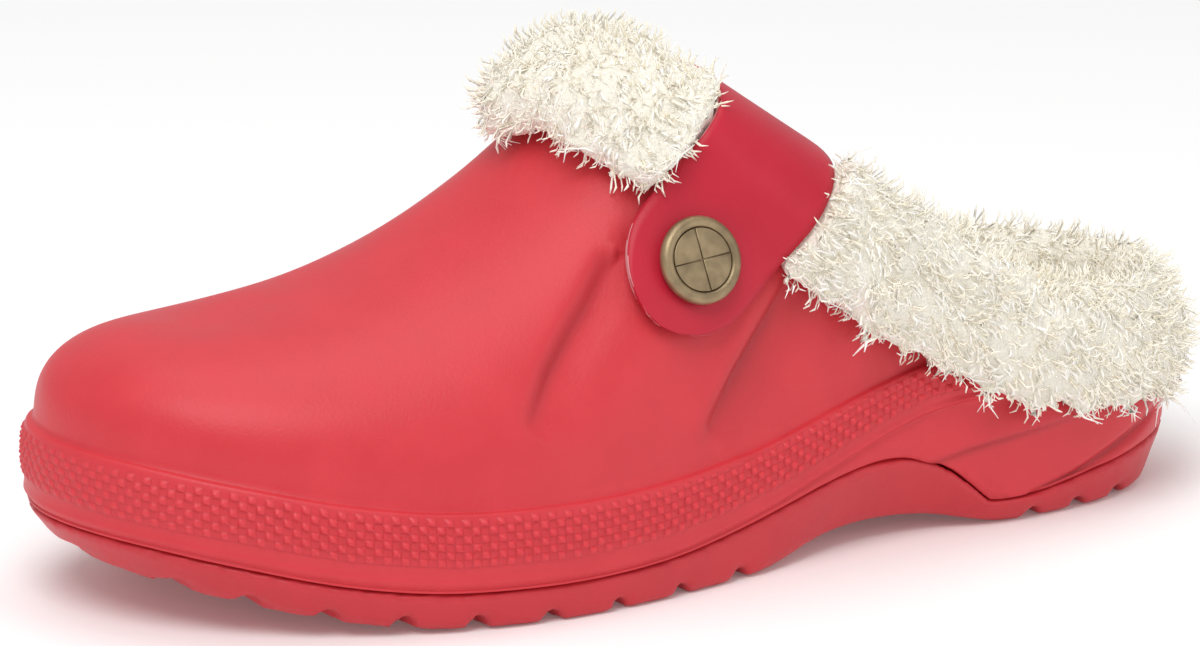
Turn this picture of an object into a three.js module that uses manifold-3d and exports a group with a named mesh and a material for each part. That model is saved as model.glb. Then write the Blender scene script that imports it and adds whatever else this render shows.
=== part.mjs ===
// A lined clog slipper for the left foot, as separate solids: moulded foam sole and upper, an insole
// covered with fleece, a fleece cuff folded over the collar, a leather strap and two snap buttons.
// Millimetres, +Z up, +Y towards the toe, the wearer's left (the outer side of the foot) on -X.
// The origin lies on the floor, under the middle of the heel.
import * as THREE from "three";
import { mergeVertices } from "three/addons/utils/BufferGeometryUtils.js";
import Module from "manifold-3d";

const wasm = await Module();
wasm.setup();

// Driving dimensions
const shoeLength = 272; // outside, heel to toe tip
const ballWidth = 104; // outside, across the ball of the foot
const heelSeat = 34.5; // from the back of the heel to its middle, between two lugs' grooves
const instepHeight = 92; // floor to the top of the throat
const toeSpring = 13; // rise of the sole's underside at the toe tip
const archRise = 6; // rise of the underside between heel and ball
const soleEdge = 9.5; // edge thickness of the sole at the ball
const bandTopHeight = 27; // floor to the top of the band at the ball
const footbedHeight = 21; // floor to the footbed under the heel
const wall = 4; // foam wall of the upper
const ledge = 2.6; // step from the band to the upper's wall
const heelStep = 2.2; // how far the wall stands inside the outline round the heel
const footWall = 9; // foam thickness at the foot of the upper, where it stands on the sole
const gap = 0.3; // clearance between pieces that touch
const insoleThickness = 5;
const strapWidth = 31.6;
const strapThickness = 2.2;
const buttonDiameter = 19;
const postDiameter = 4.4; // the button's post, through strap and upper
const flangeDiameter = 8.4; // the post's flange inside the upper
const lockLength = 6.5; // tufts of the fleece cuff
const treadDepth = 3; // grooves between the lugs
const treadWidth = 4.5;

// Shares of the shoe's length where things happen
const throatShare = 0.525; // front end of the collar opening
const toePole = 0.87; // where the ribs of the toe box meet on the ridge
const heelPole = 0.24; // where the ribs of the heel would meet above it

// Ribs round the shoe, from the back of the heel along the outer side to the toe and back on the inner side
const ribCount = 68;
const halfRibs = ribCount / 2;

// The outline from above: shares of the length, and half widths as shares of the ball's width
const outline = [
  { along: 0.0, outer: -0.01, inner: 0.01 },
  { along: 0.012, outer: 0.15, inner: 0.15 },
  { along: 0.045, outer: 0.268, inner: 0.262 },
  { along: 0.1, outer: 0.338, inner: 0.325 },
  { along: 0.18, outer: 0.37, inner: 0.35 },
  { along: 0.28, outer: 0.382, inner: 0.34 },
  { along: 0.38, outer: 0.405, inner: 0.33 },
  { along: 0.48, outer: 0.452, inner: 0.345 },
  { along: 0.57, outer: 0.502, inner: 0.385 },
  { along: 0.65, outer: 0.52, inner: 0.432 },
  { along: 0.73, outer: 0.502, inner: 0.47 },
  { along: 0.8, outer: 0.455, inner: 0.48 },
  { along: 0.87, outer: 0.38, inner: 0.46 },
  { along: 0.93, outer: 0.278, inner: 0.4 },
  { along: 0.975, outer: 0.145, inner: 0.29 },
  { along: 0.994, outer: 0.02, inner: 0.19 },
  { along: 1.0, outer: -0.08, inner: 0.08 },
];

// Lines along the side. lift is a share of toeSpring, arch of archRise, joint, groove and undercut of
// soleEdge, and bandTop of bandTopHeight. The undercut is how far the sole's lower edge lies inside its
// outline, and band says how much of the band there is.
const sideLines = [
  { along: 0.0, lift: 0, arch: 0.3, joint: 1.55, groove: 2.7, bandTop: 1.15, undercut: 0.8, band: 0 },
  { along: 0.05, lift: 0, arch: 0.05, joint: 1.36, groove: 2.75, bandTop: 1.17, undercut: 0.6, band: 0 },
  { along: 0.085, lift: 0, arch: 0, joint: 1.17, groove: 2.8, bandTop: 1.2, undercut: 0.5, band: 0 },
  { along: 0.13, lift: 0, arch: 0, joint: 0.95, groove: 2.9, bandTop: 1.25, undercut: 0.42, band: 0 },
  { along: 0.17, lift: 0, arch: 0, joint: 0.72, groove: 3.05, bandTop: 1.32, undercut: 0.4, band: 0.15 },
  { along: 0.21, lift: 0, arch: 0, joint: 0.6, groove: 3.15, bandTop: 1.42, undercut: 0.4, band: 0.6 },
  { along: 0.235, lift: 0, arch: 0, joint: 0.65, groove: 3.2, bandTop: 1.5, undercut: 0.45, band: 0.9 },
  { along: 0.26, lift: 0, arch: 0.4, joint: 1.4, groove: 3.2, bandTop: 1.52, undercut: 0.75, band: 1 },
  { along: 0.295, lift: 0, arch: 0.6, joint: 1.95, groove: 3.1, bandTop: 1.5, undercut: 0.95, band: 1 },
  { along: 0.33, lift: 0, arch: 0.7, joint: 2.17, groove: 2.8, bandTop: 1.42, undercut: 1, band: 1 },
  { along: 0.365, lift: 0, arch: 0.65, joint: 2.05, groove: 2.45, bandTop: 1.33, undercut: 0.95, band: 1 },
  { along: 0.41, lift: 0, arch: 0.45, joint: 1.75, groove: 1.98, bandTop: 1.2, undercut: 0.55, band: 1 },
  { along: 0.45, lift: 0, arch: 0.1, joint: 1.45, groove: 1.62, bandTop: 1.1, undercut: 0.25, band: 1 },
  { along: 0.5, lift: 0, arch: 0, joint: 1.15, groove: 1.3, bandTop: 1.02, undercut: 0.2, band: 1 },
  { along: 0.56, lift: 0, arch: 0, joint: 0.93, groove: 1.05, bandTop: 0.97, undercut: 0.2, band: 1 },
  { along: 0.64, lift: 0, arch: 0, joint: 0.85, groove: 0.97, bandTop: 0.95, undercut: 0.2, band: 1 },
  { along: 0.74, lift: 0.05, arch: 0, joint: 0.85, groove: 0.97, bandTop: 0.95, undercut: 0.26, band: 1 },
  { along: 0.82, lift: 0.25, arch: 0, joint: 0.85, groove: 0.97, bandTop: 0.96, undercut: 0.36, band: 1 },
  { along: 0.9, lift: 0.62, arch: 0, joint: 0.85, groove: 0.97, bandTop: 0.95, undercut: 0.48, band: 1 },
  { along: 1.0, lift: 1, arch: 0, joint: 0.8, groove: 0.92, bandTop: 0.93, undercut: 0.75, band: 1 },
];

// The ridge over the foot: height as a share of instepHeight, shift towards the big toe as a share of the
// ball's width, and full, how far the cross section is from a plain ellipse (2) to a box.
const ridge = [
  { along: 0.24, height: 1.5, shift: 0, full: 2 },
  { along: 0.4, height: 1.42, shift: 0.01, full: 2 },
  { along: 0.5, height: 1.2, shift: 0.02, full: 2 },
  { along: 0.555, height: 1.08, shift: 0.03, full: 2 },
  { along: 0.62, height: 0.92, shift: 0.04, full: 2.05 },
  { along: 0.7, height: 0.77, shift: 0.055, full: 2.2 },
  { along: 0.78, height: 0.678, shift: 0.065, full: 2.4 },
  { along: 0.87, height: 0.635, shift: 0.07, full: 2.6 },
];

// The collar's edge in side view: height as a share of instepHeight
const collar = [
  { along: -0.05, height: 0.445 },
  { along: 0.0, height: 0.445 },
  { along: 0.08, height: 0.445 },
  { along: 0.17, height: 0.49 },
  { along: 0.23, height: 0.57 },
  { along: 0.29, height: 0.67 },
  { along: 0.36, height: 0.81 },
  { along: 0.46, height: 1.01 },
  { along: 0.515, height: 1.12 },
  { along: 0.6, height: 1.28 },
];

// The footbed's height: share of footbedHeight
const footbed = [
  { along: 0.0, height: 1.05 },
  { along: 0.15, height: 1 },
  { along: 0.32, height: 1.02 },
  { along: 0.45, height: 0.84 },
  { along: 0.6, height: 0.64 },
  { along: 0.75, height: 0.64 },
  { along: 0.9, height: 0.85 },
  { along: 1.0, height: 1.02 },
];

// The fleece cuff round the collar, by the share from the heel to the throat: how far it stands off the wall,
// rises over the edge, and hangs down outside and inside
const cuffTable = [
  { along: 0.0, off: 4.8, rise: 10.5, outside: 16.5, inside: 9 },
  { along: 0.3, off: 7, rise: 11, outside: 19, inside: 11 },
  { along: 0.6, off: 9, rise: 12, outside: 21, inside: 14 },
  { along: 0.85, off: 11, rise: 13, outside: 22, inside: 14 },
  { along: 1.0, off: 12, rise: 14, outside: 21, inside: 14 },
];

// The strap's middle line from button to button: across is a share of the ball's width, height of the
// instep's height
const strapPath = [
  { across: -0.36, along: 0.518, height: 0.766 },
  { across: -0.375, along: 0.469, height: 0.9 },
  { across: -0.315, along: 0.43, height: 0.99 },
  { across: -0.2, along: 0.416, height: 1.025 },
  { across: -0.03, along: 0.412, height: 1.035 },
  { across: 0.14, along: 0.416, height: 1.025 },
  { across: 0.255, along: 0.43, height: 0.99 },
  { across: 0.315, along: 0.469, height: 0.9 },
  { across: 0.29, along: 0.518, height: 0.766 },
];

// Grooves across the sole, as shares of the length
const treadGrooves = [
  0.088, 0.135, 0.183, 0.485, 0.548, 0.61, 0.669, 0.728, 0.781, 0.831, 0.878, 0.919, 0.96,
];

// A column of a table as a smooth function of the share along the shoe, which doesn't overshoot its rows
function column(table, key) {
  const x = table.map((row) => row.along);
  const y = table.map((row) => row[key]);
  const slope = y.slice(1).map((v, k) => (v - y[k]) / (x[k + 1] - x[k]));
  const tangent = y.map((_, k) => {
    const [before, after] = [slope[k - 1], slope[k]];
    if (before === undefined || after === undefined || before * after <= 0) return 0;
    return (2 * before * after) / (before + after);
  });
  return (at) => {
    const a = THREE.MathUtils.clamp(at, x[0], x[x.length - 1]);
    const k = x.slice(1, -1).filter((v) => v <= a).length;
    const span = x[k + 1] - x[k];
    const t = (a - x[k]) / span;
    const h00 = (1 + 2 * t) * (1 - t) ** 2;
    const h10 = t * (1 - t) ** 2;
    const h01 = t * t * (3 - 2 * t);
    const h11 = t * t * (t - 1);
    return h00 * y[k] + h10 * span * tangent[k] + h01 * y[k + 1] + h11 * span * tangent[k + 1];
  };
}

const liftAt = column(sideLines, "lift");
const archAt = column(sideLines, "arch");
const jointAt = column(sideLines, "joint");
const grooveAt = column(sideLines, "groove");
const bandTopAt = column(sideLines, "bandTop");
const undercutAt = column(sideLines, "undercut");
const bandAt = column(sideLines, "band");
const ridgeHeight = column(ridge, "height");
const ridgeShift = column(ridge, "shift");
const ridgeFull = column(ridge, "full");
const collarHeight = column(collar, "height");
const footbedAt = column(footbed, "height");
const cuffOff = column(cuffTable, "off");
const cuffRise = column(cuffTable, "rise");
const cuffOutside = column(cuffTable, "outside");
const cuffInside = column(cuffTable, "inside");

const shareOf = (y) => (y + heelSeat) / shoeLength;
const yOf = (share) => share * shoeLength - heelSeat;
const undersideZ = (share) => liftAt(share) * toeSpring + archAt(share) * archRise;
const jointZ = (share) => liftAt(share) * toeSpring + jointAt(share) * soleEdge;
// Half the clearance at the seam of sole and upper, measured upwards, more of it where the seam climbs
function seam(share) {
  const climb = (jointZ(share + 0.004) - jointZ(share - 0.004)) / (0.008 * shoeLength);
  return 0.75 * gap * Math.hypot(1, climb);
}
const grooveZ = (share) => liftAt(share) * toeSpring + grooveAt(share) * soleEdge;
const bandTopZ = (share) => liftAt(share) * toeSpring + bandTopAt(share) * bandTopHeight;

// The outline's two sides as smooth curves from the back of the heel to the toe tip
function outlineSide(side) {
  const sign = side === "outer" ? -1 : 1;
  const points = outline.map((row) => new THREE.Vector3(sign * row[side] * ballWidth, yOf(row.along), 0));
  return new THREE.CatmullRomCurve3(points, false, "centripetal");
}
const sides = { outer: outlineSide("outer"), inner: outlineSide("inner") };
for (const curve of Object.values(sides)) curve.arcLengthDivisions = 400;

// The outline at rib r, which may lie between two ribs: point, outward direction and share along the shoe
function foot(r) {
  const turn = ((r % ribCount) + ribCount) % ribCount;
  const onOuter = turn <= halfRibs;
  const u = onOuter ? turn / halfRibs : (ribCount - turn) / halfRibs;
  const point = (onOuter ? sides.outer : sides.inner).getPointAt(u);
  const step = 0.004;
  const at = (v) => {
    const w = v < 0 || v > 1;
    const clipped = v < 0 ? -v : v > 1 ? 2 - v : v;
    return (w !== onOuter ? sides.outer : sides.inner).getPointAt(clipped);
  };
  const ahead = at(u + step);
  const behind = at(u - step);
  const tangent = ahead.sub(behind).normalize();
  const out = onOuter
    ? new THREE.Vector3(-tangent.y, tangent.x, 0)
    : new THREE.Vector3(tangent.y, -tangent.x, 0);
  return { point, out, share: shareOf(point.y) };
}

// A rib's place on the ridge: in the middle of the shoe straight across, drawn together at toe and heel
function ridgeShare(share) {
  const [toeStart, toeEnd, heelStart] = [0.6, 0.985, 0.42];
  if (share > toeStart) {
    const t = Math.min(1, (share - toeStart) / (toeEnd - toeStart));
    const span = toeEnd - toeStart;
    const h10 = t * (1 - t) ** 2;
    const h01 = t * t * (3 - 2 * t);
    return toeStart + h10 * span + h01 * (toePole - toeStart);
  }
  if (share < heelStart) return heelPole + (heelStart - heelPole) * (share / heelStart);
  return share;
}
function ridgePoint(share) {
  return new THREE.Vector3(ridgeShift(share) * ballWidth, yOf(share), ridgeHeight(share) * instepHeight);
}

// The upper's outer surface above the band, at rib r and angle t from 0 at the band to PI/2 on the ridge
function surface(r, t) {
  const { point, out, share } = foot(r);
  const twin = foot(ribCount - r).share;
  const top = ridgePoint(ridgeShare((share + twin) / 2));
  const base = point.clone().addScaledVector(out, -ledge * bandAt(share) - heelStep * (1 - bandAt(share)));
  const power = 2 / ridgeFull(ridgeShare(share));
  const across = 1 - Math.cos(t) ** power;
  const up = Math.sin(t) ** power;
  const low = bandTopZ(share);
  return new THREE.Vector3(
    base.x + (top.x - base.x) * across,
    base.y + (top.y - base.y) * across,
    low + (top.z - low) * up,
  );
}
function surfaceNormal(r, t) {
  if (t > Math.PI / 2 - 0.02) {
    const share = ridgeShare((foot(r).share + foot(ribCount - r).share) / 2);
    const along = ridgePoint(share + 0.005).sub(ridgePoint(share - 0.005));
    return new THREE.Vector3(0, -along.z, along.y).normalize();
  }
  const low = Math.max(0.001, t);
  const du = surface(r + 0.2, low).sub(surface(r - 0.2, low));
  const dt = surface(r, low + 0.01).sub(surface(r, low - 0.001));
  return du.cross(dt).normalize().negate();
}

// The collar's edge: the angle where rib r passes the side view's collar line
function collarAngle(r) {
  const above = (t) => {
    const p = surface(r, t);
    return p.z - collarHeight(shareOf(p.y)) * instepHeight;
  };
  let [low, high] = [0, Math.PI / 2];
  if (above(high) < 0) return high;
  for (let k = 0; k < 30; k += 1) {
    const mid = (low + high) / 2;
    if (above(mid) > 0) high = mid;
    else low = mid;
  }
  return (low + high) / 2;
}

// The throat's rib on each side, and the places on the collar's edge where the ribs behind it end
function throatRib() {
  for (let k = halfRibs; k > 0; k -= 1) {
    const share = ridgeShare((foot(k).share + foot(ribCount - k).share) / 2);
    if (share < throatShare) return k + 1;
  }
  return 1;
}
const throat = throatRib();

function collarStops(start, end, count) {
  const samples = 240;
  const places = [];
  let length = 0;
  let last = null;
  for (let k = 0; k <= samples; k += 1) {
    const eased = (k / samples) ** 1.6;
    const r = start + (end - start) * eased;
    const t = k === 0 ? Math.PI / 2 : collarAngle(r);
    const p = surface(r, t);
    if (last) length += p.distanceTo(last);
    last = p;
    places.push({ r, t, length });
  }
  const stops = [];
  for (let k = 0; k <= count; k += 1) {
    const want = (length * k) / count;
    const m = Math.max(1, places.findIndex((q) => q.length >= want - 1e-9));
    const [a, b] = [places[m - 1], places[m]];
    const f = b.length > a.length ? (want - a.length) / (b.length - a.length) : 0;
    stops.push({ r: a.r + (b.r - a.r) * f, t: a.t + (b.t - a.t) * f });
  }
  return stops;
}
const outerStops = collarStops(throat, 0, throat);
const innerStops = collarStops(ribCount - throat, ribCount, throat);

// Where rib i lies on the surface, at share v of its way up: straight up in front of the throat, and fanned
// behind it so that its end lies on the collar's edge
function ribPlace(i, v) {
  const fromHeel = i <= halfRibs ? i : ribCount - i;
  if (fromHeel >= throat) return { r: i, t: (v * Math.PI) / 2 };
  const stop = (i <= halfRibs ? outerStops : innerStops)[throat - fromHeel];
  const lean = v * v * (3 - 2 * v);
  return { r: i + (stop.r - i) * lean, t: v * stop.t };
}

// Closed meshes from rows of points
function isBehindThroat(i) {
  const fromHeel = (k) => (k <= halfRibs ? k : ribCount - k);
  return Math.max(fromHeel(i % ribCount), fromHeel((i + 1) % ribCount)) <= throat;
}
function skin(rows, useCell = () => true) {
  const position = rows.flat().flatMap((p) => [p.x, p.y, p.z]);
  const count = rows[0].length;
  const index = [];
  rows.slice(1).forEach((_, j) => {
    for (let i = 0; i < count; i += 1) {
      if (!useCell(j, i)) continue;
      const next = (i + 1) % count;
      const [a, b] = [j * count + i, j * count + next];
      const [c, d] = [a + count, b + count];
      index.push(a, c, b, b, c, d);
    }
  });
  return closedGeometry(position, index);
}
function closedGeometry(position, index) {
  const raw = new THREE.BufferGeometry();
  raw.setAttribute("position", new THREE.Float32BufferAttribute(position, 3));
  raw.setIndex(index);
  const merged = mergeVertices(raw, 1e-3);
  const old = merged.index.array;
  const kept = [];
  let volume = 0;
  const [a, b, c] = [new THREE.Vector3(), new THREE.Vector3(), new THREE.Vector3()];
  for (let k = 0; k < old.length; k += 3) {
    const [i, j, l] = [old[k], old[k + 1], old[k + 2]];
    if (i === j || j === l || i === l) continue;
    kept.push(i, j, l);
    a.fromBufferAttribute(merged.attributes.position, i);
    b.fromBufferAttribute(merged.attributes.position, j);
    c.fromBufferAttribute(merged.attributes.position, l);
    volume += a.dot(b.cross(c));
  }
  merged.setIndex(volume < 0 ? kept.reverse() : kept);
  return merged;
}
// A closed mesh lofted through closed rows of points, with both ends capped
function loft(rows) {
  const count = rows[0].length;
  const position = rows.flat().flatMap((p) => [p.x, p.y, p.z]);
  const index = [];
  rows.slice(1).forEach((_, j) => {
    for (let i = 0; i < count; i += 1) {
      const next = (i + 1) % count;
      const [a, b] = [j * count + i, j * count + next];
      index.push(a, a + count, b, b, a + count, b + count);
    }
  });
  const last = (rows.length - 1) * count;
  for (let i = 1; i < count - 1; i += 1) {
    index.push(0, i, i + 1);
    index.push(last, last + i + 1, last + i);
  }
  return closedGeometry(position, index);
}

// Solids from closed meshes, for cuts and joins, and back
function toSolid(geometry) {
  const bare = geometry.clone();
  bare.deleteAttribute("normal");
  bare.deleteAttribute("uv");
  const merged = mergeVertices(bare, 1e-3);
  const mesh = new wasm.Mesh({
    numProp: 3,
    vertProperties: new Float32Array(merged.attributes.position.array),
    triVerts: new Uint32Array(merged.index.array),
  });
  return new wasm.Manifold(mesh);
}
function toGeometry(solid) {
  const { vertProperties, triVerts, numProp } = solid.getMesh();
  const position = [];
  for (let k = 0; k < vertProperties.length; k += numProp) {
    position.push(vertProperties[k], vertProperties[k + 1], vertProperties[k + 2]);
  }
  const geometry = new THREE.BufferGeometry();
  geometry.setAttribute("position", new THREE.Float32BufferAttribute(position, 3));
  geometry.setIndex(Array.from(triVerts));
  return geometry;
}

// The upper: band profile at its foot, wall up to ridge or collar, then the same way down inside.
// out is the step outwards from the outline, and from and rise place a row between two of the side lines.
const bandProfile = [
  { from: "joint", rise: 0, out: -1.2, heel: 0.9 },
  { from: "flank", rise: 0.33, out: -0.9, heel: 0.7 },
  { from: "flank", rise: 0.66, out: -0.9, heel: 0.9 },
  { from: "band", rise: 0, out: -1.2, heel: 1.3 },
  { from: "band", rise: 0.08, out: -0.1, heel: 1.35 },
  { from: "band", rise: 0.2, out: -0.5, heel: 1.5 },
  { from: "band", rise: 0.32, out: -0.1, heel: 1.6 },
  { from: "band", rise: 0.62, out: 0, heel: 1.8 },
  { from: "band", rise: 0.9, out: -0.5, heel: 2 },
  { from: "band", rise: 0.98, out: -1.2, heel: 2.1 },
];
const wallRows = 8;
function bandPoint(i, row) {
  const { point, out, share } = foot(i);
  const [low, mid, high] = [jointZ(share) + seam(share), grooveZ(share), bandTopZ(share)];
  const start = { joint: low, flank: low, band: mid }[row.from];
  const z = start + (row.from === "band" ? high - mid : mid - low) * row.rise;
  const amount = bandAt(share);
  const step = row.out * amount - row.heel * (1 - amount);
  return point.clone().addScaledVector(out, step).setZ(z);
}
function upperGeometry() {
  const ribs = Array.from({ length: ribCount }, (_, i) => i);
  const rows = bandProfile.map((row) => ribs.map((i) => bandPoint(i, row)));
  for (let j = 0; j <= wallRows; j += 1) {
    const v = j / wallRows;
    rows.push(ribs.map((i) => {
      const place = ribPlace(i, v);
      return surface(place.r, place.t);
    }));
  }
  const lastOuter = rows.length - 1;
  for (let j = wallRows; j >= 0; j -= 2) {
    const v = j / wallRows;
    rows.push(ribs.map((i) => {
      const place = ribPlace(i, v);
      return surface(place.r, place.t).addScaledVector(surfaceNormal(place.r, place.t), -wall);
    }));
  }
  rows.push(ribs.map((i) => {
    const { point, out, share } = foot(i);
    return point.clone().addScaledVector(out, -footWall).setZ((jointZ(share) + bandTopZ(share)) / 2);
  }));
  rows.push(ribs.map((i) => {
    const { point, out, share } = foot(i);
    return point.clone().addScaledVector(out, -footWall).setZ(jointZ(share) + seam(share));
  }));
  rows.push(rows[0]);
  return skin(rows, (j, i) => j !== lastOuter || isBehindThroat(i));
}

// Rows of points inside the outline: at a depth from the edge, on the middle line, and halfway
const allRibs = Array.from({ length: ribCount }, (_, i) => i);
function edgeRow(depth, z) {
  return allRibs.map((i) => {
    const { point, out, share } = foot(i);
    const p = point.clone().addScaledVector(out, -(typeof depth === "number" ? depth : depth(share)));
    return p.setZ(z(shareOf(p.y), share));
  });
}
function middleRow(z) {
  return allRibs.map((i) => {
    const share = THREE.MathUtils.clamp((foot(i).share + foot(ribCount - i).share) / 2, 0.12, 0.88);
    return new THREE.Vector3(0.02 * ballWidth * share, yOf(share), z(share));
  });
}
function halfwayRow(depth, z) {
  const edge = edgeRow(depth, () => 0);
  const middle = middleRow(() => 0);
  return edge.map((p, i) => {
    p.lerp(middle[i], 0.5);
    return p.setZ(z(shareOf(p.y)));
  });
}

// The footbed, shared by the sole's top and the insole's underside
const footbedInset = footWall + gap + 0.8;
const bedZ = (share) => footbedAt(share) * footbedHeight;
const bedEdgeZ = (share, ribShare) => Math.max(bedZ(share), jointZ(ribShare) + 1);

// The sole: underside, side and ledge under the upper, then the footbed that closes the upper from below
function soleGeometry() {
  const edge = (share) => undercutAt(share) * soleEdge;
  const sideZ = (share, part) => undersideZ(share) + (jointZ(share) - undersideZ(share)) * part;
  const body = toSolid(skin([
    middleRow(undersideZ),
    halfwayRow((share) => edge(share) + 1, undersideZ),
    edgeRow((share) => edge(share) + 1, undersideZ),
    edgeRow((share) => edge(share) * 0.72, (_, share) => undersideZ(share) + 1.6),
    edgeRow((share) => 1 + edge(share) * 0.3, (_, share) => sideZ(share, 0.55)),
    edgeRow(1, (_, share) => jointZ(share) - 0.6 - seam(share)),
    edgeRow(1.6, (_, share) => jointZ(share) - seam(share)),
    edgeRow(footWall + gap, (_, share) => jointZ(share) - seam(share)),
    edgeRow(footbedInset, bedEdgeZ),
    halfwayRow(footbedInset, bedZ),
    middleRow(bedZ),
  ]));
  const grooves = treadGrooves.map((share) => toSolid(loft([-70, -35, 0, 35, 70].map((x) => {
    const y = yOf(share) + 4 - 4 * (x / 45) ** 2;
    const z = undersideZ(share);
    return [
      new THREE.Vector3(x, y - treadWidth * 0.6, z - 4),
      new THREE.Vector3(x, y + treadWidth * 0.6, z - 4),
      new THREE.Vector3(x, y + treadWidth * 0.45, z + treadDepth * 0.6),
      new THREE.Vector3(x, y + treadWidth * 0.25, z + treadDepth),
      new THREE.Vector3(x, y - treadWidth * 0.25, z + treadDepth),
      new THREE.Vector3(x, y - treadWidth * 0.45, z + treadDepth * 0.6),
    ];
  }))));
  return toGeometry(body.subtract(wasm.Manifold.union(grooves)));
}

// The insole lies on the footbed
function insoleGeometry() {
  const lift = (z, by) => (share, ribShare) => z(share, ribShare) + by;
  const low = gap + 0.2;
  const top = low + insoleThickness;
  return skin([
    middleRow(lift(bedZ, low)),
    halfwayRow(footbedInset, lift(bedZ, low)),
    edgeRow(footbedInset, lift(bedEdgeZ, low)),
    edgeRow(footbedInset - 0.3, lift(bedEdgeZ, low + 1.2)),
    edgeRow(footbedInset - 0.3, lift(bedEdgeZ, top - 1.3)),
    edgeRow(footbedInset + 1.2, lift(bedEdgeZ, top)),
    halfwayRow(footbedInset + 1.2, lift(bedZ, top)),
    middleRow(lift(bedZ, top)),
  ]);
}

// Looks along a ray at a piece and gives the first point it meets
const upperShell = upperGeometry();
const target = new THREE.Mesh(upperShell, new THREE.MeshBasicMaterial({ side: THREE.DoubleSide }));
const caster = new THREE.Raycaster();
function meet(from, direction, reach) {
  caster.set(from, direction);
  caster.far = reach;
  return caster.intersectObject(target)[0]?.point ?? null;
}

// Sections round the collar, from the throat along the outer side to the heel and back
function collarSections() {
  const stops = [...outerStops, ...innerStops.slice(1, -1).reverse()];
  const count = stops.length;
  const edge = stops.map(({ r, t }) => surface(r, t));
  const normal = stops.map(({ r, t }) => surfaceNormal(r, t));
  const smooth = (list) => list.map((v, k) => v.clone().multiplyScalar(2)
    .add(list[(k + 1) % count]).add(list[(k + count - 1) % count]).normalize());
  const away = edge.map((_, k) => {
    const along = edge[(k + 1) % count].clone().sub(edge[(k + count - 1) % count]).normalize();
    const down = normal[k].clone().cross(along).normalize();
    return down.z > 0 ? down.negate() : down;
  });
  const soft = smooth(away);
  return edge.map((p, k) => {
    const n = normal[k].clone().addScaledVector(soft[k], -normal[k].dot(soft[k])).normalize();
    const near = k <= throat ? throat - k : k - throat;
    const [before, after] = [edge[(k + count - 1) % count], edge[(k + 1) % count]];
    const bulge = Math.abs(p.clone().sub(before.clone().lerp(after, 0.5)).dot(n));
    const side = after.clone().sub(before).multiplyScalar(0.5);
    return { edge: p, out: n, down: soft[k], side, bulge, share: near / throat };
  });
}
function cuffSection({ edge, out, down, side, bulge, share }, random) {
  const [off, rise] = [cuffOff(share), cuffRise(share)];
  const [outside, inside] = [cuffOutside(share), cuffInside(share)];
  const clear = 1.5 * gap + bulge / 2;
  // The wall's stand-off from a straight line down from the edge, the most of it between two places
  const standOff = (from, to, facing) => {
    let most = -Infinity;
    for (let s = from; s <= to + 0.01; s += (to - from) / 5) {
      [-0.5, 0, 0.5].forEach((f) => {
        const base = edge.clone().addScaledVector(down, s).addScaledVector(side, f);
        const start = base.clone().addScaledVector(out, facing * 25 - (facing < 0 ? wall - 9 : 0));
        const hit = meet(start, out.clone().multiplyScalar(-facing), 45);
        if (hit) most = Math.max(most, hit.sub(base).dot(out) * facing);
      });
    }
    return most === -Infinity ? 0 : most;
  };
  const place = (along, across) => edge.clone().addScaledVector(out, across).addScaledVector(down, along);
  const bump = () => (random() - 0.5) * 1.6;
  const third = outside / 3;
  const outer = [[0, third], [0, third * 2], [third, outside], [third * 2, outside]]
    .map(([from, to]) => standOff(from, to, 1) + clear);
  const half = inside / 2;
  const inner = [[0, half], [0, inside], [half, inside]]
    .map(([from, to]) => -standOff(from, to, -1) - clear);
  return [
    place(-clear, Math.max(clear, outer[0])),
    place(third, outer[1]),
    place(third * 2, outer[2]),
    place(outside, outer[3]),
    place(outside + 1.5, outer[3] + off * 0.35),
    place(outside - 1, outer[3] + off * 0.75 + bump()),
    place(third * 2, outer[2] + off + bump()),
    place(third, outer[1] + off + bump()),
    place(-rise * 0.1, off * 0.95 + bump()),
    place(-rise * 0.68 + bump(), off * 0.55),
    place(-rise + bump(), -wall * 0.4),
    place(-rise * 0.68 + bump(), -wall - off * 0.5),
    place(-rise * 0.1, -wall - off * 0.85 + bump()),
    place(half, inner[1] - off * 0.8 + bump()),
    place(inside, inner[2] - off * 0.65),
    place(inside, inner[2]),
    place(half, inner[1]),
    place(-clear, Math.min(-wall - clear, inner[0])),
  ];
}

// Rows of the cuff's section that carry locks, and the one at the top of its fold
const lockPlaces = [6, 7, 8, 9, 11, 12];
const foldPlace = 10;

// Even noise from a seed
function noise(seed) {
  let state = seed;
  return () => {
    state = (state * 1664525 + 1013904223) % 4294967296;
    return state / 4294967296;
  };
}

// A lock of fleece: a short flat tapered tuft that lies along the cuff and stands off it at its tip
function lockSolid(root, along, out, size, random) {
  const side = out.clone().cross(along).normalize();
  const sideways = 0.8 * (random() - 0.5);
  const lean = along.clone().addScaledVector(out, 0.3).addScaledVector(side, sideways).normalize();
  const ring = (distance, width) => [0, 1, 2].map((k) => {
    const angle = (k * 2 * Math.PI) / 3;
    const [u, v] = [(width / 1.7) * Math.sin(angle), (width / 3) * Math.cos(angle)];
    return root.clone().addScaledVector(lean, distance).addScaledVector(side, u).addScaledVector(out, v);
  });
  const [foot, middle, tip] = [[-0.3, 0.8], [0.3, 0.7], [0.8, 0.15]];
  return toSolid(loft([foot, middle, tip].map(([distance, width]) => ring(distance * size, width * size))));
}

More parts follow.
